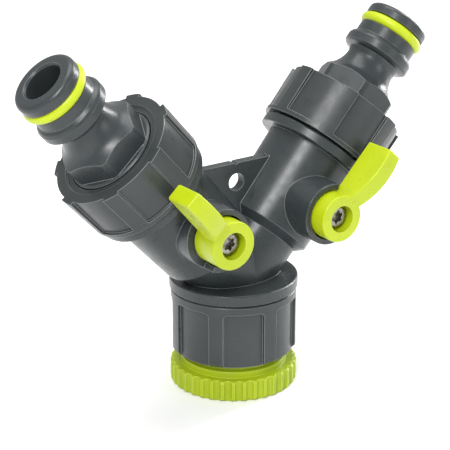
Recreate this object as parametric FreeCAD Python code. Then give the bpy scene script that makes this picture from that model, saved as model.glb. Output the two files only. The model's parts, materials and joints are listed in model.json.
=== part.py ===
"""Two-way garden hose splitter: a Y-shaped plastic body with a ball valve in each arm.

Frame: millimetres, +Z up.  The inlet axis is Z and the reducer's bottom face lies at z = 0.
The arms lie in the XZ plane and the valve levers face -Y.
Every arm part is drawn in an arm frame (Z outward along the arm, -Y to the front) whose
origin is the point where the arm axes meet, and is then turned into place by place().
"""
import FreeCAD, Part
import math
import os

V = FreeCAD.Vector

# ---- overall layout -------------------------------------------------------------------
ARM_ANGLE = 42.0          # each arm leans this far from the vertical, degrees
JOIN_Z = 27.0             # height where the two arm axes meet the inlet axis
VALVE_T = 23.07           # valve axis, measured out along the arm
SIDES = {"left": -1, "right": 1}

# ---- threads (pipe thread, 55 degree flanks) ------------------------------------------
PITCH = 1.814
FLANK = math.tan(math.radians(27.5))
G34_MAJOR = 26.441 / 2
G34_MINOR = 24.117 / 2
G12_MAJOR = 20.955 / 2
CREST = 0.24              # width of a male crest
RADIAL_PLAY = 0.12        # male to female, radially
AXIAL_PLAY = 0.14         # male to female, along the axis
THREAD_LEAD = 0.9         # chamfer on the first male thread
NUT_MOUTH = 1.0           # chamfer at the mouth of each nut's thread
GROOVE_LIP = 0.15         # how far a groove cutter stands clear of the crests
SEAM_STEP = 35            # degrees between the tries at cutting a thread
GROOVE_SHARE = 0.4        # least share of a cutter's volume that a sound cut takes away

# ---- reducer --------------------------------------------------------------------------
GRIP_R = 15.46
GRIP_H = 5.07
GRIP_TEETH = 36
GRIP_GROOVE_R = 1.0
GRIP_GROOVE_OUT = 0.2     # centre of each scallop, outside the grip's radius
GRIP_CORE_R = 11.6
REDUCER_LAP = (11.0, 11.4)    # where its outer and inner sleeves run into each other
NECK_R = 12.9
NECK_TOP = 6.6
REDUCER_RELIEF_TOP = 8.1
REDUCER_TOP = 17.8
SOCKET_DEPTH = 9.6        # length of the tap thread in the reducer
WASHER_SEAT = 12.4        # underside of the shoulder that the tap washer rests on
WASHER_T = 2.0
REDUCER_BORE = 8.2
SOCKET_CREST_R = 9.75     # tap thread's crests: a guess, blunter than the standard thread's
SOCKET_PLAY = 0.05         # tap thread, along the axis
SOCKET_MOUTH = 0.45       # chamfer at the mouth of the tap thread
WASHER_ROOM = 0.3         # the washer chamber, outside the tap thread

# ---- inlet nut ------------------------------------------------------------------------
INLET_NUT_R = 15.25
INLET_NUT_BOTTOM = 8.5
INLET_NUT_TOP = 24.2
INLET_NUT_ROOF = 21.9     # underside of the wall that hangs on the retaining ring
INLET_THREAD_TOP = 18.2
INLET_BEVEL = 0.8         # bottom edge
INLET_EDGE = 0.3          # top edge
RUNNING_PLAY = 0.08       # nut on spigot, radially
INLET_RECESS_R = 14.4
INLET_RECESS_TOP = 22.2
RIDGES = 7
INLET_RIDGE_DEG = 13.5
INLET_POCKET_CORNER = 1.2
INLET_RIDGE_AT = -89.7    # direction of one ridge, degrees from +X

# ---- body -----------------------------------------------------------------------------
DISC_R = 15.59
DISC_Z = (24.47, 27.27)
DISC_EDGE = 0.4
SPIGOT_R = 10.0
SPIGOT_BOTTOM = 19.8
SPIGOT_BORE = 7.2
RING_GROOVE_R = 8.95
RING_GROOVE_Z = (20.2, 21.8)
RING_R = 11.6
RING_PLAY = 0.05
RING_GAP_DEG = 50.0
BRANCH_R = 9.2            # smooth lower part of each arm
STEP_T = (12.3, 14.2)     # chamfer from the branch out to the tube
TUBE_R = (11.3, 11.9)     # the tube widens slightly outward
COLLAR_R = 14.65
COLLAR_T = (35.0, 37.4)
COLLAR_EDGE = 0.35
MALE_T = 44.8             # outer end of the arm's threaded spigot
RELIEF_R = 11.95
RELIEF_END_T = 38.3
WATERWAY_R = 5.0
POCKET_R = 9.4            # valve chamber
POCKET_T = (15.6, 30.54)
OUTER_BORE_R = 9.75

# ---- web with the hanging hole --------------------------------------------------------
WEB_HALF = 1.2
WEB_TOP = 55.3
WEB_ROOT = (0.0, 32.0)
WEB_REACH = 18.0
HANG_Z = 50.56
HANG_R = 2.17
GATE_NICK_R = 0.6

# ---- valve boss (distances are depths in front of the arm axis, along -Y) --------------
BOSS_R = 7.49
BOSS_FRONT = 17.97
BOSS_CUP_R = 6.2
BOSS_FLOOR = 14.4
BOSS_EDGE = 0.3
STEM_BORE_R = 3.26
COLLAR_SHOULDER = 10.4
COLLAR_BORE_R = 4.5
STOP_MARGIN = 25.0        # half the lever's root, plus play, seen from the valve axis, degrees
TURN = 90.0

# ---- ball valve -----------------------------------------------------------------------
BALL_R = 8.2
BALL_BORE = 4.8
SEAT_PLAY = 0.05
SEAT_REACH = 4.67         # inner face of each seat, from the ball's centre
SEAT_OUTER_R = 9.38
RETAINER_END_T = 35.5
RETAINER_R = 9.73
KEY_NOTCH = (2.4, 1.4)    # width and depth
SLOT_HALF = 1.5
SLOT_FLOOR = 6.0
STEM_R = 3.2
STEM_COLLAR_R = 4.4
STEM_SQUARE = 4.5
STEM_END = 17.5
SEAL_DEPTHS = (11.55, 13.35)
SEAL_MINOR = 0.58
SEAL_GROOVE_HALF = 0.65
SEAL_GROOVE_R = 2.06

# ---- lever and its screw --------------------------------------------------------------
HUB_R = 5.7
HUB_FRONT = 22.05
HUB_BACK = 14.7
HUB_RECESS_R = 3.23
HUB_RECESS_FLOOR = 18.9
HUB_SOCKET_END = 17.6
LEVER_LEN = 19.4
LEVER_BACK = (17.0, 17.2)     # back edge, at the hub and at the tip
LEVER_MID = (12.5, 25.7)      # a point on the curved front edge
LEVER_TIP_FRONT = 25.1
LEVER_HALF = (2.5, 2.05)      # half thickness, at the hub and at the tip
SCREW_HEAD_R = 2.85
SCREW_HEAD_TOP = 20.2
SCREW_SHANK_R = 1.25
SCREW_END = 12.6
LOBE_RECESS = (1.15, 0.42, 1.2)    # circle of the lobes, lobe radius and depth

# ---- union nut and nozzle (positions along the arm) ------------------------------------
NUT_T = (37.9, 50.5)
NUT_R = (15.35, 15.6)
NUT_RECESS_R = 14.75
NUT_RECESS_START = 39.0
NUT_THREAD_END = 45.2
NUT_CAVITY_R = 13.4
NUT_WALL = 1.8
NUT_OPENING_R = 10.9
NUT_STEP_R = 12.3
NUT_STEP = 0.5
NUT_RIDGE_DEG = 15.0
NUT_POCKET_CORNER = 0.4
NUT_RIDGE_AT = {"left": -78.0, "right": -80.5}
GASKET_R = 11.7
GASKET_T = 2.0
NOZZLE_FLANGE_T = (46.8, 48.6)
NOZZLE_COLLAR_R = 10.6
NOZZLE_COLLAR_T = 50.3
HEX_START = 50.6
HEX_END = 55.2
HEX_CUT = 8.0             # the flats run on up the flare
HEX_FLATS = 18.3
HEX_CORNER_R = 10.2
NOZZLE_BORE = 4.68
NOZZLE_SLEEVE_R = 8.0
NOZZLE_FLARE = ((8.9, 56.2), (7.75, 57.4), (6.95, 58.9), (6.5, 60.4))
NOZZLE_NECK = (6.4, 61.6)
NOZZLE_CATCH = (8.7, 63.8, 65.6)    # collar that a hose connector grips
LAND_R = 7.6
FUNNEL_T = (49.5, 58.0)
TIP_ROUND_T = 73.9
TIP_FACE_R = 6.6
O_RING_T = 70.95
O_RING_R = 7.05
O_RING_MINOR = 1.27
O_RING_GROOVE = (5.76, 69.66, 72.24)
TIP_R = 7.92
TIP_T = 75.05


# ---- helpers --------------------------------------------------------------------------
def rod(radius, z0, z1):
    """A cylinder about Z from z0 to z1."""
    return Part.makeCylinder(radius, z1 - z0, V(0, 0, z0))


def tube(inner, outer, z0, z1):
    """A plain ring about Z."""
    return rod(outer, z0, z1).cut(rod(inner, z0 - 1, z1 + 1))


def front_rod(radius, d0, d1):
    """A cylinder on the valve axis, from depth d0 to depth d1 in front of the arm axis."""
    return Part.makeCylinder(radius, d1 - d0, V(0, -d0, VALVE_T), V(0, -1, 0))


def polygon(points):
    """A face from corner points."""
    return Part.Face(Part.makePolygon([V(*p) for p in points] + [V(*points[0])]))


def turned(outline):
    """A solid of revolution about Z from (radius, z) corners."""
    face = polygon([(r, 0, z) for r, z in outline])
    return face.revolve(V(0, 0, 0), V(0, 0, 1), 360)


def turned_wire(edges):
    """A solid of revolution about Z from edges in the XZ plane."""
    return Part.Face(Part.Wire(edges)).revolve(V(0, 0, 0), V(0, 0, 1), 360)


def doughnut(major, minor, z):
    """An O-ring about Z."""
    return Part.makeTorus(major, minor, V(0, 0, z))


def wedge(radius, start, stop, z0, z1, steps=6):
    """A pie slice about Z between two directions in degrees."""
    rim = [math.radians(start + (stop - start) * k / steps) for k in range(steps + 1)]
    corners = [(0, 0, z0)] + [(radius * math.cos(a), radius * math.sin(a), z0) for a in rim]
    return polygon(corners).extrude(V(0, 0, z1 - z0))


def edges_where(shape, test):
    """The shape's edges whose centre passes a test."""
    return [edge for edge in shape.Edges if test(edge.CenterOfMass)]


def rims(shape, test=lambda c: True):
    """A rod's round end edges, or those of them whose centre passes a test."""
    return [e for e in shape.Edges if isinstance(e.Curve, Part.Circle) and test(e.CenterOfMass)]


def points_outward(edge):
    """True for a straight edge that lies along a radius from Z."""
    first, last = edge.Vertexes[0].Point, edge.Vertexes[-1].Point
    return isinstance(edge.Curve, Part.Line) and abs(first.x * last.y - first.y * last.x) < 0.01


def place(shape, side):
    """Turn a part from the arm frame to its arm."""
    moved = shape.copy()
    turn = FreeCAD.Rotation(V(0, 1, 0), SIDES[side] * ARM_ANGLE)
    moved.Placement = FreeCAD.Placement(V(0, 0, JOIN_Z), turn).multiply(moved.Placement)
    return moved


def tap_groove(major, minor, z0, z1):
    """Cutter for the reducer's own inside thread."""
    return female_groove(major, minor, z0, z1, SOCKET_PLAY)


def helical_groove(profile, z0, z1, phase):
    """A groove swept up a right-hand helix from z0 to z1; profile is (radius, dz) corners.

    It is turned so that above +X the groove's middle lies whole pitches from phase.
    """
    radius = profile[0][0]
    path = Part.makeHelix(PITCH, z1 - z0, radius)
    path.translate(V(0, 0, z0))
    section = Part.makePolygon([V(r, 0, z0 + dz) for r, dz in profile + profile[:1]])
    groove = Part.Wire(path.Edges).makePipeShell([section], True, True)
    groove.rotate(V(0, 0, 0), V(0, 0, 1), 360 * (z0 - phase) / PITCH)
    return groove


def male_groove(major, minor, z0, z1):
    """Cutter for an outside thread: the groove between its crests."""
    root = PITCH / 2 - CREST / 2 - (major - minor) * FLANK
    outer = major + GROOVE_LIP
    mouth = root + (outer - minor) * FLANK
    profile = [(minor, -root), (minor, root), (outer, mouth), (outer, -mouth)]
    return helical_groove(profile, z0, z1, PITCH / 2)


def female_groove(major, minor, z0, z1, play=AXIAL_PLAY):
    """Cutter for an inside thread, in step with the crests that male_groove leaves."""
    root = CREST / 2 + play - RADIAL_PLAY * FLANK
    inner = minor + RADIAL_PLAY - GROOVE_LIP
    outer = major + RADIAL_PLAY
    mouth = root + (outer - inner) * FLANK
    profile = [(outer, -root), (outer, root), (inner, mouth), (inner, -mouth)]
    return helical_groove(profile, z0, z1, 0)


def height(shape):
    """Lowest and highest point of a shape's mesh, to a hundredth of a millimetre."""
    levels = [point.z for point in shape.tessellate(0.1)[0]]
    return round(min(levels), 2), round(max(levels), 2)


def cut_thread(blank, cutter, major, minor, z0, z1):
    """Cut a thread in a round blank.

    Where the blank's seam meets the groove's, a cut can take nothing away and still be valid.
    So the blank is turned about its own axis, which changes no shape, until the cut is sound.
    """
    groove = cutter(major, minor, z0, z1)
    tried = []
    for turn in range(0, 360, SEAM_STEP):
        turned_blank = blank.copy()
        turned_blank.rotate(V(0, 0, 0), V(0, 0, 1), turn)
        threaded = turned_blank.cut(groove)
        share = (blank.Volume - threaded.Volume) / groove.Volume
        if threaded.isValid() and share > GROOVE_SHARE and height(threaded) == height(blank):
            return threaded
        tried.append(f"{turn}: valid {threaded.isValid()}, share {share:.2f}, {height(threaded)}")
    raise ValueError(f"no sound thread from {z0} to {z1}: {tried}")


def ridged_sleeve(r0, r1, recess_r, z0, z1, recess, corner, ridge_deg, ridge_at):
    """A nut's outside: a slight cone with RIDGES ridges left between pockets cut in it."""
    sleeve = turned([(0, z0), (r0, z0), (r1, z1), (0, z1)])
    step = 360.0 / RIDGES
    low, high = recess
    closed_end = high if high < z1 else low
    pocket = wedge(r1 + 4, ridge_deg / 2, step - ridge_deg / 2, low, high)
    pocket = pocket.cut(rod(recess_r, low - 1, high + 1))
    at_end = edges_where(pocket, lambda c: abs(c.z - closed_end) < 0.01)
    radial = [e for e in at_end if points_outward(e)]
    pocket = pocket.makeFillet(corner, radial)
    for k in range(RIDGES):
        cutter = pocket.copy()
        cutter.rotate(V(0, 0, 0), V(0, 0, 1), ridge_at + k * step)
        sleeve = sleeve.cut(cutter)
    return sleeve


# ---- inlet ----------------------------------------------------------------------------
def grip_ring():
    """The reducer's scalloped finger grip, without its middle."""
    grip = turned([(GRIP_CORE_R, 0), (GRIP_R - 0.5, 0), (GRIP_R, 0.5), (GRIP_R, GRIP_H - 0.4),
                   (GRIP_R - 0.4, GRIP_H), (GRIP_CORE_R, GRIP_H)])
    reach = GRIP_R + GRIP_GROOVE_OUT
    for k in range(GRIP_TEETH):
        angle = 2 * math.pi * k / GRIP_TEETH
        at = V(reach * math.cos(angle), reach * math.sin(angle), -1)
        grip = grip.cut(Part.makeCylinder(GRIP_GROOVE_R, GRIP_H + 2, at))
    return grip


def reducer():
    """Screws up into the inlet nut; its own socket takes the smaller tap thread."""
    socket_r = SOCKET_CREST_R
    washer_r = G12_MAJOR + WASHER_ROOM
    inside, outside = REDUCER_LAP
    outer = turned([(inside, 0), (NECK_R, 0), (NECK_R, NECK_TOP), (RELIEF_R, NECK_TOP + 0.3),
                    (RELIEF_R, REDUCER_RELIEF_TOP), (G34_MAJOR, REDUCER_RELIEF_TOP + 0.5),
                    (G34_MAJOR, REDUCER_TOP - THREAD_LEAD), (G34_MAJOR - THREAD_LEAD, REDUCER_TOP),
                    (inside, REDUCER_TOP)])
    outer = cut_thread(outer, male_groove, G34_MAJOR, G34_MINOR,
                       REDUCER_RELIEF_TOP - 0.5, REDUCER_TOP + 1.2)
    inner = turned([(socket_r + SOCKET_MOUTH, 0), (outside, 0), (outside, REDUCER_TOP),
                    (REDUCER_BORE, REDUCER_TOP), (REDUCER_BORE, WASHER_SEAT), (washer_r, WASHER_SEAT),
                    (washer_r, SOCKET_DEPTH), (socket_r, SOCKET_DEPTH), (socket_r, SOCKET_MOUTH)])
    inner = cut_thread(inner, tap_groove, G12_MAJOR, SOCKET_CREST_R - RADIAL_PLAY,
                       -1.0, SOCKET_DEPTH + 0.6)
    return grip_ring().fuse(outer).fuse(inner)


def reducer_washer():
    """Flat washer at the bottom of the reducer's socket."""
    return tube(REDUCER_BORE, G12_MAJOR, WASHER_SEAT - WASHER_T, WASHER_SEAT)


def inlet_gasket():
    """Flat washer squeezed between the reducer and the body's inlet spigot."""
    return tube(SPIGOT_BORE, G34_MINOR - 0.2, REDUCER_TOP, SPIGOT_BOTTOM)


def inlet_nut():
    """Swivel nut that hangs on the body by its retaining ring."""
    outside = ridged_sleeve(INLET_NUT_R, INLET_NUT_R, INLET_RECESS_R, INLET_NUT_BOTTOM,
                            INLET_NUT_TOP, (INLET_NUT_BOTTOM - 1, INLET_RECESS_TOP),
                            INLET_POCKET_CORNER, INLET_RIDGE_DEG, INLET_RIDGE_AT)
    bevel_top = INLET_NUT_BOTTOM + INLET_BEVEL
    edge_start = INLET_NUT_TOP - INLET_EDGE
    trim = turned([(0, INLET_NUT_BOTTOM), (INLET_NUT_R - INLET_BEVEL, INLET_NUT_BOTTOM),
                   (INLET_NUT_R, bevel_top), (INLET_NUT_R + 1, bevel_top),
                   (INLET_NUT_R + 1, edge_start), (INLET_NUT_R, edge_start),
                   (INLET_NUT_R - INLET_EDGE, INLET_NUT_TOP), (0, INLET_NUT_TOP)])
    thread_r = G34_MINOR + RADIAL_PLAY
    roof_r = SPIGOT_R + RUNNING_PLAY
    hollow = turned([(0, INLET_NUT_BOTTOM - 1), (thread_r + NUT_MOUTH + 1, INLET_NUT_BOTTOM - 1),
                     (thread_r, INLET_NUT_BOTTOM + NUT_MOUTH), (thread_r, INLET_THREAD_TOP),
                     (NUT_CAVITY_R, INLET_THREAD_TOP), (NUT_CAVITY_R, INLET_NUT_ROOF),
                     (roof_r, INLET_NUT_ROOF), (roof_r, INLET_NUT_TOP + 1),
                     (0, INLET_NUT_TOP + 1)])
    core = cut_thread(trim.cut(hollow), female_groove, G34_MAJOR, G34_MINOR,
                      INLET_NUT_BOTTOM - 1.0, INLET_THREAD_TOP + 1.0)
    return outside.common(core)


def retaining_ring():
    """Split ring snapped into the spigot's groove under the inlet nut's roof."""
    low, high = RING_GROOVE_Z
    ring = tube(RING_GROOVE_R + RING_PLAY, RING_R, low + RING_PLAY, high - RING_PLAY)
    return ring.cut(wedge(2 * RING_R, 90 - RING_GAP_DEG / 2, 90 + RING_GAP_DEG / 2, 0, INLET_NUT_TOP))


# ---- body -----------------------------------------------------------------------------
def arm_outside():
    """One arm of the body, solid: branch, tube, collar, threaded spigot and valve boss."""
    branch = rod(BRANCH_R, -14, STEP_T[1])
    sleeve = turned([(0, STEP_T[0]), (BRANCH_R, STEP_T[0]), (TUBE_R[0], STEP_T[1]),
                     (TUBE_R[1], COLLAR_T[0] + 0.5), (0, COLLAR_T[0] + 0.5)])
    collar = rod(COLLAR_R, *COLLAR_T)
    collar = collar.makeFillet(COLLAR_EDGE, rims(collar))
    spigot = turned([(0, COLLAR_T[1] - 1), (RELIEF_R, COLLAR_T[1] - 1), (RELIEF_R, RELIEF_END_T),
                     (G34_MAJOR, RELIEF_END_T + 0.5), (G34_MAJOR, MALE_T - THREAD_LEAD),
                     (G34_MAJOR - THREAD_LEAD, MALE_T), (0, MALE_T)])
    spigot = cut_thread(spigot, male_groove, G34_MAJOR, G34_MINOR, RELIEF_END_T - 0.5, MALE_T + 1.2)
    boss = front_rod(BOSS_R, 0, BOSS_FRONT)
    boss = boss.makeFillet(BOSS_EDGE, rims(boss, lambda c: c.y < 1 - BOSS_FRONT))
    arm = branch
    for piece in (sleeve, collar, boss, spigot):
        arm = arm.fuse(piece)
    return arm


def arm_hollow():
    """What is taken out of an arm: waterway, valve pocket, outer bore and the stem's way in."""
    hollow = rod(WATERWAY_R, 0, POCKET_T[0] + 1)
    hollow = hollow.fuse(rod(POCKET_R, *POCKET_T))
    hollow = hollow.fuse(rod(OUTER_BORE_R, POCKET_T[1], MALE_T + 1))
    hollow = hollow.fuse(front_rod(COLLAR_BORE_R, 4, COLLAR_SHOULDER))
    hollow = hollow.fuse(front_rod(STEM_BORE_R, 4, BOSS_FLOOR + 0.5))
    return hollow.fuse(front_rod(BOSS_CUP_R, BOSS_FLOOR, BOSS_FRONT + 1))


def stop_gap(side):
    """The sector cut out of the boss's rim; its two ends stop the lever."""
    reach = BOSS_R + 2
    steps = 6
    span = TURN + 2 * STOP_MARGIN
    corners = [(0, -BOSS_FLOOR, VALVE_T)]
    for k in range(steps + 1):
        angle = math.radians(-STOP_MARGIN + span * k / steps)
        corners.append((SIDES[side] * reach * math.sin(angle), -BOSS_FLOOR,
                        VALVE_T + reach * math.cos(angle)))
    return polygon(corners).extrude(V(0, -BOSS_FRONT, 0))


def web():
    """Thin plate between the arms, with the hole that the splitter hangs by."""
    root_x, root_z = WEB_ROOT
    face = polygon([(root_x, -WEB_HALF, root_z), (WEB_REACH, -WEB_HALF, WEB_TOP),
                    (-WEB_REACH, -WEB_HALF, WEB_TOP)])
    plate = face.extrude(V(0, 2 * WEB_HALF, 0))
    nick = Part.makeCylinder(GATE_NICK_R, 4 * WEB_HALF, V(0, -2 * WEB_HALF, WEB_TOP + 0.3), V(0, 1, 0))
    return plate.cut(nick)


def y_body():
    """The one-piece moulded manifold."""
    disc = rod(DISC_R, *DISC_Z)
    disc = disc.makeFillet(DISC_EDGE, rims(disc))
    spigot = rod(SPIGOT_R, SPIGOT_BOTTOM, DISC_Z[0] + 1)
    groove = tube(RING_GROOVE_R, SPIGOT_R + 2, *RING_GROOVE_Z)
    above_disc = Part.makeBox(200, 200, 200, V(-100, -100, DISC_Z[0] + 1))
    body = web()
    for side in SIDES:
        body = body.fuse(place(arm_outside(), side).common(above_disc))
    body = body.fuse(disc).fuse(spigot).cut(groove)
    inlet = rod(SPIGOT_BORE, SPIGOT_BOTTOM - 1, JOIN_Z + 1)
    dome = Part.makeSphere(SPIGOT_BORE, V(0, 0, JOIN_Z + 1))
    body = body.cut(inlet.fuse(dome))
    for side in SIDES:
        body = body.cut(place(arm_hollow(), side))
        body = body.cut(place(stop_gap(side), side))
    hole = Part.makeCylinder(HANG_R, 4 * WEB_HALF, V(0, -2 * WEB_HALF, HANG_Z), V(0, 1, 0))
    return body.cut(hole).removeSplitter()


# ---- ball valve -----------------------------------------------------------------------
def ball():
    """Drilled ball, open along the arm, with a slot across its front for the stem."""
    centre = V(0, 0, VALVE_T)
    sphere = Part.makeSphere(BALL_R, centre)
    bore = rod(BALL_BORE, VALVE_T - 2 * BALL_R, VALVE_T + 2 * BALL_R)
    slot = Part.makeBox(4 * BALL_R, BALL_R, 2 * SLOT_HALF,
                        V(-2 * BALL_R, -SLOT_FLOOR - BALL_R, VALVE_T - SLOT_HALF))
    return sphere.cut(bore).cut(slot)


def seat(outward):
    """Seal ring beside the ball; outward is -1 for the inner one and 1 for the outer one."""
    face = VALVE_T + outward * SEAT_REACH
    back = POCKET_T[0] if outward < 0 else POCKET_T[1]
    ring = tube(BALL_BORE, SEAT_OUTER_R, min(face, back), max(face, back))
    return ring.cut(Part.makeSphere(BALL_R + SEAT_PLAY, V(0, 0, VALVE_T)))


def seat_retainer():
    """Bush pressed down the arm behind the outer seat, with two notches for a key."""
    bush = tube(WATERWAY_R + 0.2, RETAINER_R, POCKET_T[1], RETAINER_END_T)
    width, depth = KEY_NOTCH
    notch = Part.makeBox(4 * RETAINER_R, width, 2 * depth,
                         V(-2 * RETAINER_R, -width / 2, RETAINER_END_T - depth))
    return bush.cut(notch)


def valve_stem():
    """Turned stem: tang in the ball, collar under the boss, two seals and a square drive."""
    tang_half = SLOT_HALF - 0.1
    tang = Part.makeBox(8, 2.5, 2 * tang_half, V(-4, -SLOT_FLOOR - 0.1 - 2.5, VALVE_T - tang_half))
    collar_back = BALL_R + 0.25
    stem = tang.fuse(front_rod(STEM_COLLAR_R, collar_back, COLLAR_SHOULDER - 0.08))
    stem = stem.fuse(front_rod(STEM_R, collar_back, BOSS_FLOOR))
    half = STEM_SQUARE / 2
    square = Part.makeBox(STEM_SQUARE, STEM_END - BOSS_FLOOR + 1, STEM_SQUARE,
                          V(-half, -STEM_END, VALVE_T - half))
    stem = stem.fuse(square.common(front_rod(STEM_R - 0.1, BOSS_FLOOR - 2, STEM_END)))
    for depth in SEAL_DEPTHS:
        d0, d1 = depth - SEAL_GROOVE_HALF, depth + SEAL_GROOVE_HALF
        stem = stem.cut(front_rod(STEM_R + 1, d0, d1).cut(front_rod(SEAL_GROOVE_R, d0, d1)))
    return stem.cut(front_rod(SCREW_SHANK_R + 0.02, SCREW_END - 0.2, STEM_END + 1))


def stem_seals():
    """Two small O-rings in the stem's grooves."""
    major = STEM_R + 0.04 - SEAL_MINOR
    rings = [Part.makeTorus(major, SEAL_MINOR, V(0, -depth, VALVE_T), V(0, 1, 0))
             for depth in SEAL_DEPTHS]
    return Part.makeCompound(rings)


# ---- lever ----------------------------------------------------------------------------
def blade():
    """The lever's fin, outlined from the side and then tapered from the front."""
    hub_top = V(0, -HUB_FRONT, VALVE_T)
    arc_start = V(0, -HUB_FRONT, VALVE_T + 4.6)
    arc_mid = V(0, -LEVER_MID[1], VALVE_T + LEVER_MID[0])
    tip_front = V(0, -LEVER_TIP_FRONT, VALVE_T + LEVER_LEN)
    tip_back = V(0, -LEVER_BACK[1], VALVE_T + LEVER_LEN)
    hub_back = V(0, -LEVER_BACK[0], VALVE_T)
    edges = [Part.makeLine(hub_top, arc_start), Part.Arc(arc_start, arc_mid, tip_front).toShape(),
             Part.makeLine(tip_front, tip_back), Part.makeLine(tip_back, hub_back),
             Part.makeLine(hub_back, hub_top)]
    profile = Part.Face(Part.Wire(edges))
    profile.translate(V(-10, 0, 0))
    side_view = profile.extrude(V(20, 0, 0))
    wide, narrow = LEVER_HALF
    top_view = polygon([(-wide, 0, VALVE_T), (wide, 0, VALVE_T),
                        (narrow, 0, VALVE_T + LEVER_LEN), (-narrow, 0, VALVE_T + LEVER_LEN)])
    fin = side_view.common(top_view.extrude(V(0, -40, 0)))
    return fin.makeFillet(0.55, edges_where(fin, lambda c: c.z > VALVE_T + 0.1))


def valve_lever():
    """Hub and fin in one piece, with a square socket behind and a screw recess in front."""
    hub = front_rod(HUB_R, HUB_BACK, HUB_FRONT)
    hub = hub.makeFillet(0.5, rims(hub, lambda c: c.y < 0.1 - HUB_FRONT))
    lever = hub.fuse(blade())
    lever = lever.cut(front_rod(HUB_RECESS_R, HUB_RECESS_FLOOR, HUB_FRONT + 1))
    lever = lever.cut(front_rod(SCREW_SHANK_R + 0.2, HUB_BACK, HUB_FRONT))
    half = STEM_SQUARE / 2 + 0.05
    socket = Part.makeBox(2 * half, HUB_SOCKET_END - HUB_BACK + 1, 2 * half,
                          V(-half, -HUB_SOCKET_END, VALVE_T - half))
    return lever.cut(socket)


def lever_screw():
    """Pan-head six-lobe screw that holds the lever on the stem."""
    head = front_rod(SCREW_HEAD_R, HUB_RECESS_FLOOR, SCREW_HEAD_TOP)
    head = head.makeFillet(0.7, rims(head, lambda c: c.y < 0.1 - SCREW_HEAD_TOP))
    screw = head.fuse(front_rod(SCREW_SHANK_R, SCREW_END, HUB_RECESS_FLOOR + 0.1))
    reach, lobe, deep = LOBE_RECESS
    recess = front_rod(reach, SCREW_HEAD_TOP - deep, SCREW_HEAD_TOP + 1)
    for k in range(6):
        angle = math.radians(60 * k)
        at = V(reach * math.cos(angle), -SCREW_HEAD_TOP + deep, VALVE_T + reach * math.sin(angle))
        recess = recess.fuse(Part.makeCylinder(lobe, deep + 1, at, V(0, -1, 0)))
    return screw.cut(recess)


# ---- outlet ---------------------------------------------------------------------------
def nozzle_outline():
    """Edges of the nozzle's half section in the XZ plane: root, flare, tip and bore."""
    groove_r, g0, g1 = O_RING_GROOVE
    neck_r, neck_t = NOZZLE_NECK
    catch_r, catch0, catch1 = NOZZLE_CATCH
    round_t = TIP_ROUND_T
    root = [(NOZZLE_SLEEVE_R, NOZZLE_FLANGE_T[0]), (GASKET_R, NOZZLE_FLANGE_T[0]),
            (GASKET_R, NOZZLE_FLANGE_T[1]), (NOZZLE_COLLAR_R, NOZZLE_FLANGE_T[1]),
            (NOZZLE_COLLAR_R, NOZZLE_COLLAR_T), (HEX_CORNER_R, HEX_START), (HEX_CORNER_R, HEX_END)]
    flare = [(HEX_CORNER_R, HEX_END), *NOZZLE_FLARE, (neck_r, neck_t)]
    front = [(neck_r, neck_t), (neck_r + 0.4, neck_t + 1.3), (catch_r - 0.5, catch0 - 0.5),
             (catch_r, catch0), (catch_r, catch1), (catch_r - 0.4, catch1 + 0.7),
             (LAND_R, catch1 + 1.3), (LAND_R, g0 - 0.1), (LAND_R - 0.1, g0), (groove_r, g0),
             (groove_r, g1), (TIP_R - 0.15, g1), (TIP_R, g1 + 0.15), (TIP_R, round_t)]
    rounded = [V(TIP_R, 0, round_t), V(TIP_R - 0.47, 0, TIP_T - 0.3), V(TIP_FACE_R, 0, TIP_T)]
    funnel_start, funnel_end = FUNNEL_T
    bore = [(TIP_FACE_R, TIP_T), (NOZZLE_BORE + 0.4, TIP_T), (NOZZLE_BORE, TIP_T - 0.5),
            (NOZZLE_BORE, funnel_end), (NOZZLE_SLEEVE_R, funnel_start),
            (NOZZLE_SLEEVE_R, NOZZLE_FLANGE_T[0])]
    curve = Part.BSplineCurve()
    curve.interpolate([V(r, 0, z) for r, z in flare])
    tip = Part.Arc(*rounded).toShape()
    return straight_edges(root) + [curve.toShape()] + straight_edges(front) + [tip] + straight_edges(bore)


def straight_edges(points):
    """Line edges through (radius, z) points."""
    corners = [V(r, 0, z) for r, z in points]
    return [Part.makeLine(a, b) for a, b in zip(corners, corners[1:])]


def nozzle():
    """Quick-connect tail piece with a hexagonal root."""
    body = turned_wire(nozzle_outline())
    corner = HEX_FLATS / math.sqrt(3)
    turns = [math.radians(60 * k) for k in range(6)]
    hexagon = [(corner * math.cos(a), corner * math.sin(a), HEX_START) for a in turns]
    prism = polygon(hexagon).extrude(V(0, 0, HEX_CUT))
    shaving = tube(NOZZLE_BORE, 2 * HEX_CORNER_R, HEX_START, HEX_START + HEX_CUT).cut(prism)
    return body.cut(shaving)


def nozzle_gasket():
    """Flat washer between the arm's end and the nozzle flange."""
    return tube(NOZZLE_SLEEVE_R, GASKET_R, MALE_T, MALE_T + GASKET_T)


def nozzle_o_ring():
    """Coloured seal ring near the nozzle's tip."""
    return doughnut(O_RING_R, O_RING_MINOR, O_RING_T)


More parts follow.
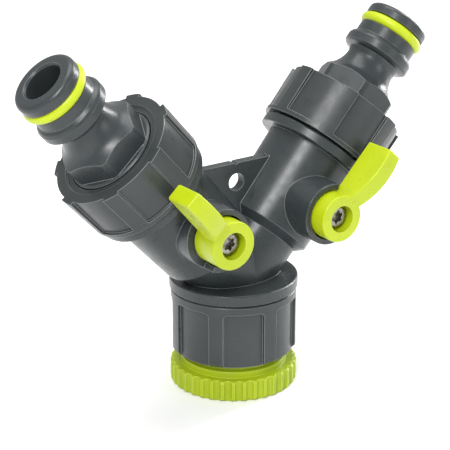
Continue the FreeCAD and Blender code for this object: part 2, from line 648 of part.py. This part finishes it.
def union_nut(side):
    """Ridged nut that clamps the nozzle on the arm's thread."""
    start, front = NUT_T
    outside = ridged_sleeve(NUT_R[0], NUT_R[1], NUT_RECESS_R, start, front,
                            (NUT_RECESS_START, front + 1), NUT_POCKET_CORNER, NUT_RIDGE_DEG,
                            NUT_RIDGE_AT[side])
    thread_r = G34_MINOR + RADIAL_PLAY
    ceiling = front - NUT_WALL
    hollow = turned([(0, start - 1), (thread_r + NUT_MOUTH + 1, start - 1), (thread_r, start + NUT_MOUTH),
                     (thread_r, NUT_THREAD_END), (NUT_CAVITY_R, NUT_THREAD_END),
                     (NUT_CAVITY_R, ceiling), (NUT_OPENING_R, ceiling),
                     (NUT_OPENING_R, front - NUT_STEP), (NUT_STEP_R, front - NUT_STEP),
                     (NUT_STEP_R, front + 1), (0, front + 1)])
    core = cut_thread(rod(NUT_R[1] + 1, start, front).cut(hollow), female_groove, G34_MAJOR, G34_MINOR,
                      start - 1.0, NUT_THREAD_END + 1.0)
    return outside.common(core)


# ---- assembly -------------------------------------------------------------------------
def build():
    """All nodes, by name."""
    nodes = {
        "y_body": y_body(),
        "inlet_nut": inlet_nut(),
        "inlet_retaining_ring": retaining_ring(),
        "inlet_gasket": inlet_gasket(),
        "reducer": reducer(),
        "reducer_washer": reducer_washer(),
    }
    for side in SIDES:
        arm_parts = {
            "valve_lever": valve_lever(),
            "lever_screw": lever_screw(),
            "valve_stem": valve_stem(),
            "stem_seals": stem_seals(),
            "valve_ball": ball(),
            "inner_seat": seat(-1),
            "outer_seat": seat(1),
            "seat_retainer": seat_retainer(),
            "nozzle_gasket": nozzle_gasket(),
            "nozzle": nozzle(),
            "nozzle_o_ring": nozzle_o_ring(),
            "union_nut": union_nut(side),
        }
        for name, shape in arm_parts.items():
            nodes[f"{side}_{name}"] = place(shape, side)
    return nodes


def main():
    os.makedirs("parts", exist_ok=True)
    for name, shape in build().items():
        shape.exportStep(os.path.join("parts", name + ".step"))
        box = shape.BoundBox
        print(f"{name:24s} solids {len(shape.Solids)} valid {shape.isValid()} "
              f"volume {shape.Volume:9.1f} z {box.ZMin:6.2f}..{box.ZMax:6.2f}")


main()
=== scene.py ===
"""Looks of the garden hose splitter: plastics, rubber, steel, soft studio light and the camera.

Every object is in metres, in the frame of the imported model.
"""
import json
import math

import bpy
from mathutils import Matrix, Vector

# ---- camera ---------------------------------------------------------------------------
AIM = Vector((-0.002454, 0.0, 0.039891))
VIEW_AZIMUTH = math.radians(-35.10)
VIEW_ELEVATION = math.radians(20.24)
VIEW_DISTANCE = 0.38588
LENS_MM = 129.6
SENSOR_MM = 36.0
CLIP_START = 0.01
VIEW_TRANSFORM = "Standard"   # shows the plastics in their own colours

# ---- stage ----------------------------------------------------------------------------
FLOOR_HALF = 3.0
FLOOR_DROP = 0.0001
FLOOR_COLOUR = (0.92, 0.92, 0.92)
FLOOR_SHADE = (0.88, 0.885, 0.89)
FLOOR_SCALE = 3.0
FLOOR_ROUGHNESS = 0.75
SKY_COLOUR = (1.0, 1.0, 1.0)
SKY_STRENGTH = 0.60

# name: place, size across and up in metres, power in watts
LIGHTS = {
    "key_softbox": ((-0.42, -0.34, 0.52), (0.20, 0.34), 3.9),
    "front_fill": ((0.30, -0.62, 0.30), (0.40, 0.28), 0.9),
    "right_strip": ((0.46, 0.06, 0.24), (0.08, 0.45), 2.6),
    "top_sheet": ((0.02, 0.10, 0.62), (0.50, 0.34), 2.2),
}

# ---- surfaces -------------------------------------------------------------------------
# name: colour, its second tone, its painted edge highlight tone (lighter, at edges),
#       roughness low and high, grain height in metres
PLASTICS = {
    "grey_plastic": ((0.034, 0.040, 0.042), (0.028, 0.034, 0.036), (0.25, 0.26, 0.26),
        0.25, 0.36, 0.000012),
    "nut_plastic": ((0.036, 0.041, 0.042), (0.030, 0.035, 0.036), (0.25, 0.26, 0.26),
        0.27, 0.38, 0.000015),
    "lime_plastic": ((0.42, 0.51, 0.006), (0.37, 0.46, 0.005), (0.62, 0.70, 0.09),
        0.26, 0.36, 0.000010),
    "lime_grip": ((0.34, 0.43, 0.005), (0.29, 0.38, 0.004), (0.56, 0.65, 0.07),
        0.28, 0.40, 0.000012),
    "lime_rubber": ((0.46, 0.56, 0.008), (0.41, 0.51, 0.006), (0.64, 0.72, 0.09),
        0.32, 0.44, 0.000008),
    "black_rubber": ((0.010, 0.010, 0.010), (0.015, 0.015, 0.015), (0.03, 0.03, 0.03),
        0.55, 0.72, 0.000015),
    "white_plastic": ((0.60, 0.60, 0.56), (0.56, 0.56, 0.52), (0.70, 0.70, 0.66),
        0.32, 0.42, 0.000008),
    "seat_plastic": ((0.68, 0.68, 0.64), (0.64, 0.64, 0.60), (0.75, 0.75, 0.72),
        0.38, 0.48, 0.000006),
    "ball_plastic": ((0.40, 0.42, 0.41), (0.36, 0.38, 0.37), (0.52, 0.54, 0.53),
        0.12, 0.20, 0.000003),
}
MOTTLE_SCALE = 90.0           # slow drift of colour, waves per metre
SHEEN_SCALE = 420.0           # patches of smoother and rougher skin
GRAIN_SCALE = 2000.0          # moulded surface grain
GRAIN_STRENGTH = 0.07
BEVEL_SAMPLES = 8
EDGE_ROUND = 0.00030         # moulded edges catch the light over this radius, which is also the width of the painted edge highlight
EDGE_START = 0.005           # 1 less the cosine between the true and the rounded surface
EDGE_FULL = 0.16
# painted edge highlight: at most this share of the base colour turns to the lighter edge tone
EDGE_SHARE = 0.8
SKIN_SPECULAR = 0.4
DRIFT_BAND = (0.35, 0.65)     # noise values that run from the first tone to the second
SKIN_BAND = (0.3, 0.7)        # noise values that run from smooth to rough

STEEL_COLOUR = (0.30, 0.285, 0.25)
STEEL_STAIN = (0.14, 0.13, 0.115)
STAIN_SCALE = 900.0
STAIN_BAND = (0.4, 0.7)
BRUSH_SCALE = 1500.0
STEEL_ROUGHNESS = (0.18, 0.36)
STEEL_GRAIN = 0.00001


# ---- nodes ----------------------------------------------------------------------------
class Graph:
    """A material's node tree with its shader, and short calls to add to it."""

    def __init__(self, name):
        self.material = bpy.data.materials.new(name)
        self.material.use_nodes = True
        self.tree = self.material.node_tree
        self.shader = self.tree.nodes["Principled BSDF"]
        self.place = self.tree.nodes.new("ShaderNodeTexCoord").outputs["Object"]

    def link(self, source, target):
        """Join an output to an input."""
        self.tree.links.new(source, target)

    def noise(self, scale, detail=3.0):
        """Noise between 0 and 1, fixed to the piece."""
        node = self.tree.nodes.new("ShaderNodeTexNoise")
        node.inputs["Scale"].default_value = scale
        node.inputs["Detail"].default_value = detail
        self.link(self.place, node.inputs["Vector"])
        return node.outputs["Fac"]

    def spread(self, source, band, to_low, to_high):
        """Stretch a band of values to run from to_low to to_high."""
        low, high = band
        node = self.tree.nodes.new("ShaderNodeMapRange")
        values = {"From Min": low, "From Max": high, "To Min": to_low, "To Max": to_high}
        for key, value in values.items():
            node.inputs[key].default_value = value
        self.link(source, node.inputs["Value"])
        return node.outputs["Result"]

    def blend(self, share, first, second):
        """Mix two colours, each a tuple or a socket."""
        node = self.tree.nodes.new("ShaderNodeMix")
        node.data_type = "RGBA"
        colours = [s for s in node.inputs if s.type == "RGBA"]
        for socket, colour in zip(colours, (first, second)):
            if isinstance(colour, tuple):
                socket.default_value = (*colour, 1.0)
            else:
                self.link(colour, socket)
        self.link(share, node.inputs["Factor"])
        return [s for s in node.outputs if s.type == "RGBA"][0]

    def rounded(self):
        """The surface's direction with its edges softened."""
        node = self.tree.nodes.new("ShaderNodeBevel")
        node.samples = BEVEL_SAMPLES
        node.inputs["Radius"].default_value = EDGE_ROUND
        return node.outputs["Normal"]

    def edges(self):
        """Painted edge highlight mask: 0 on open faces, up to EDGE_SHARE where the softened
        direction leaves the true one.
        """
        geometry = self.tree.nodes.new("ShaderNodeNewGeometry")
        match = self.tree.nodes.new("ShaderNodeVectorMath")
        match.operation = "DOT_PRODUCT"
        self.link(geometry.outputs["True Normal"], match.inputs[0])
        self.link(self.rounded(), match.inputs[1])
        return self.spread(match.outputs["Value"], (1 - EDGE_START, 1 - EDGE_FULL), 0.0, EDGE_SHARE)

    def relief(self, height, depth):
        """Bump over softly rounded edges."""
        bump = self.tree.nodes.new("ShaderNodeBump")
        bump.inputs["Strength"].default_value = GRAIN_STRENGTH
        bump.inputs["Distance"].default_value = depth
        self.link(height, bump.inputs["Height"])
        self.link(self.rounded(), bump.inputs["Normal"])
        self.link(bump.outputs["Normal"], self.shader.inputs["Normal"])


def moulded(name, colour, second, edge_highlight_tone, smooth, rough, grain):
    """Injection-moulded plastic or rubber."""
    graph = Graph(name)
    drift = graph.spread(graph.noise(MOTTLE_SCALE), DRIFT_BAND, 0.0, 1.0)
    body = graph.blend(drift, colour, second)
    # painted edge highlight: the base colour turns to the lighter edge tone along edges
    graph.link(graph.blend(graph.edges(), body, edge_highlight_tone), graph.shader.inputs["Base Color"])
    skin = graph.spread(graph.noise(SHEEN_SCALE), SKIN_BAND, smooth, rough)
    graph.link(skin, graph.shader.inputs["Roughness"])
    graph.relief(graph.noise(GRAIN_SCALE, 1.0), grain)
    graph.shader.inputs["Specular IOR Level"].default_value = SKIN_SPECULAR
    return graph.material


def steel(name):
    """Bright plated steel with faint stains."""
    graph = Graph(name)
    graph.shader.inputs["Metallic"].default_value = 1.0
    stain = graph.spread(graph.noise(STAIN_SCALE), STAIN_BAND, 0.0, 1.0)
    graph.link(graph.blend(stain, STEEL_COLOUR, STEEL_STAIN), graph.shader.inputs["Base Color"])
    skin = graph.spread(graph.noise(BRUSH_SCALE), SKIN_BAND, *STEEL_ROUGHNESS)
    graph.link(skin, graph.shader.inputs["Roughness"])
    graph.relief(graph.noise(GRAIN_SCALE, 2.0), STEEL_GRAIN)
    return graph.material


def dress(frame):
    """Give every CAD node the material of its slot."""
    made = {slot: moulded(slot, *values) for slot, values in PLASTICS.items()}
    made["screw_steel"] = steel("screw_steel")
    for part in frame["record"]["subparts"]:
        mesh = frame["nodes"][part["node"]].data
        mesh.materials.clear()
        mesh.materials.append(made[part["material_slot"]])


# ---- stage, light, camera --------------------------------------------------------------
def floor():
    """A plain pale sheet just under the splitter."""
    graph = Graph("studio_floor")
    tone = graph.spread(graph.noise(FLOOR_SCALE), SKIN_BAND, 0.0, 1.0)
    graph.link(graph.blend(tone, FLOOR_COLOUR, FLOOR_SHADE), graph.shader.inputs["Base Color"])
    graph.shader.inputs["Roughness"].default_value = FLOOR_ROUGHNESS
    mesh = bpy.data.meshes.new("studio_floor")
    reach = FLOOR_HALF
    corners = [(-reach, -reach, -FLOOR_DROP), (reach, -reach, -FLOOR_DROP),
               (reach, reach, -FLOOR_DROP), (-reach, reach, -FLOOR_DROP)]
    mesh.from_pydata(corners, [], [(0, 1, 2, 3)])
    mesh.materials.append(graph.material)
    sheet = bpy.data.objects.new("studio_floor", mesh)
    bpy.context.scene.collection.objects.link(sheet)


def aimed(obj, place, aim):
    """Put an object at a place, with its -Z towards the aim."""
    place = Vector(place)
    obj.location = place
    obj.rotation_euler = (aim - place).to_track_quat("-Z", "Y").to_euler()
    bpy.context.scene.collection.objects.link(obj)


def lights():
    """A white sky and four soft lamps."""
    world = bpy.data.worlds.new("studio")
    world.use_nodes = True
    backdrop = world.node_tree.nodes["Background"]
    backdrop.inputs["Color"].default_value = (*SKY_COLOUR, 1.0)
    backdrop.inputs["Strength"].default_value = SKY_STRENGTH
    bpy.context.scene.world = world
    for name, (place, (across, up), power) in LIGHTS.items():
        lamp = bpy.data.lights.new(name, "AREA")
        lamp.shape = "RECTANGLE"
        lamp.size = across
        lamp.size_y = up
        lamp.energy = power
        aimed(bpy.data.objects.new(name, lamp), place, AIM)


def camera():
    """The main view, with colours shown as they are."""
    forward = Vector((-math.sin(VIEW_AZIMUTH) * math.cos(VIEW_ELEVATION),
                      math.cos(VIEW_AZIMUTH) * math.cos(VIEW_ELEVATION), -math.sin(VIEW_ELEVATION)))
    lens = bpy.data.cameras.new("camera")
    lens.lens = LENS_MM
    lens.sensor_width = SENSOR_MM
    lens.clip_start = CLIP_START
    view = bpy.data.objects.new("camera", lens)
    aimed(view, AIM - forward * VIEW_DISTANCE, AIM)
    bpy.context.scene.camera = view
    bpy.context.scene.view_settings.view_transform = VIEW_TRANSFORM


with open("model.json") as file:
    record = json.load(file)
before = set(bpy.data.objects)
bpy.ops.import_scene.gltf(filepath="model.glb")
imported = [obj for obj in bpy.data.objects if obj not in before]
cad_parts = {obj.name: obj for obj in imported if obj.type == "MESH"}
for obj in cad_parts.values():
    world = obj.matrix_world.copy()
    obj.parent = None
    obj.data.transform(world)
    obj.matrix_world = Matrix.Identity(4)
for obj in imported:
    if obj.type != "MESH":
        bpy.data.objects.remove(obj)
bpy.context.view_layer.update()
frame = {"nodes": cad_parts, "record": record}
dress(frame)
floor()
lights()
camera()
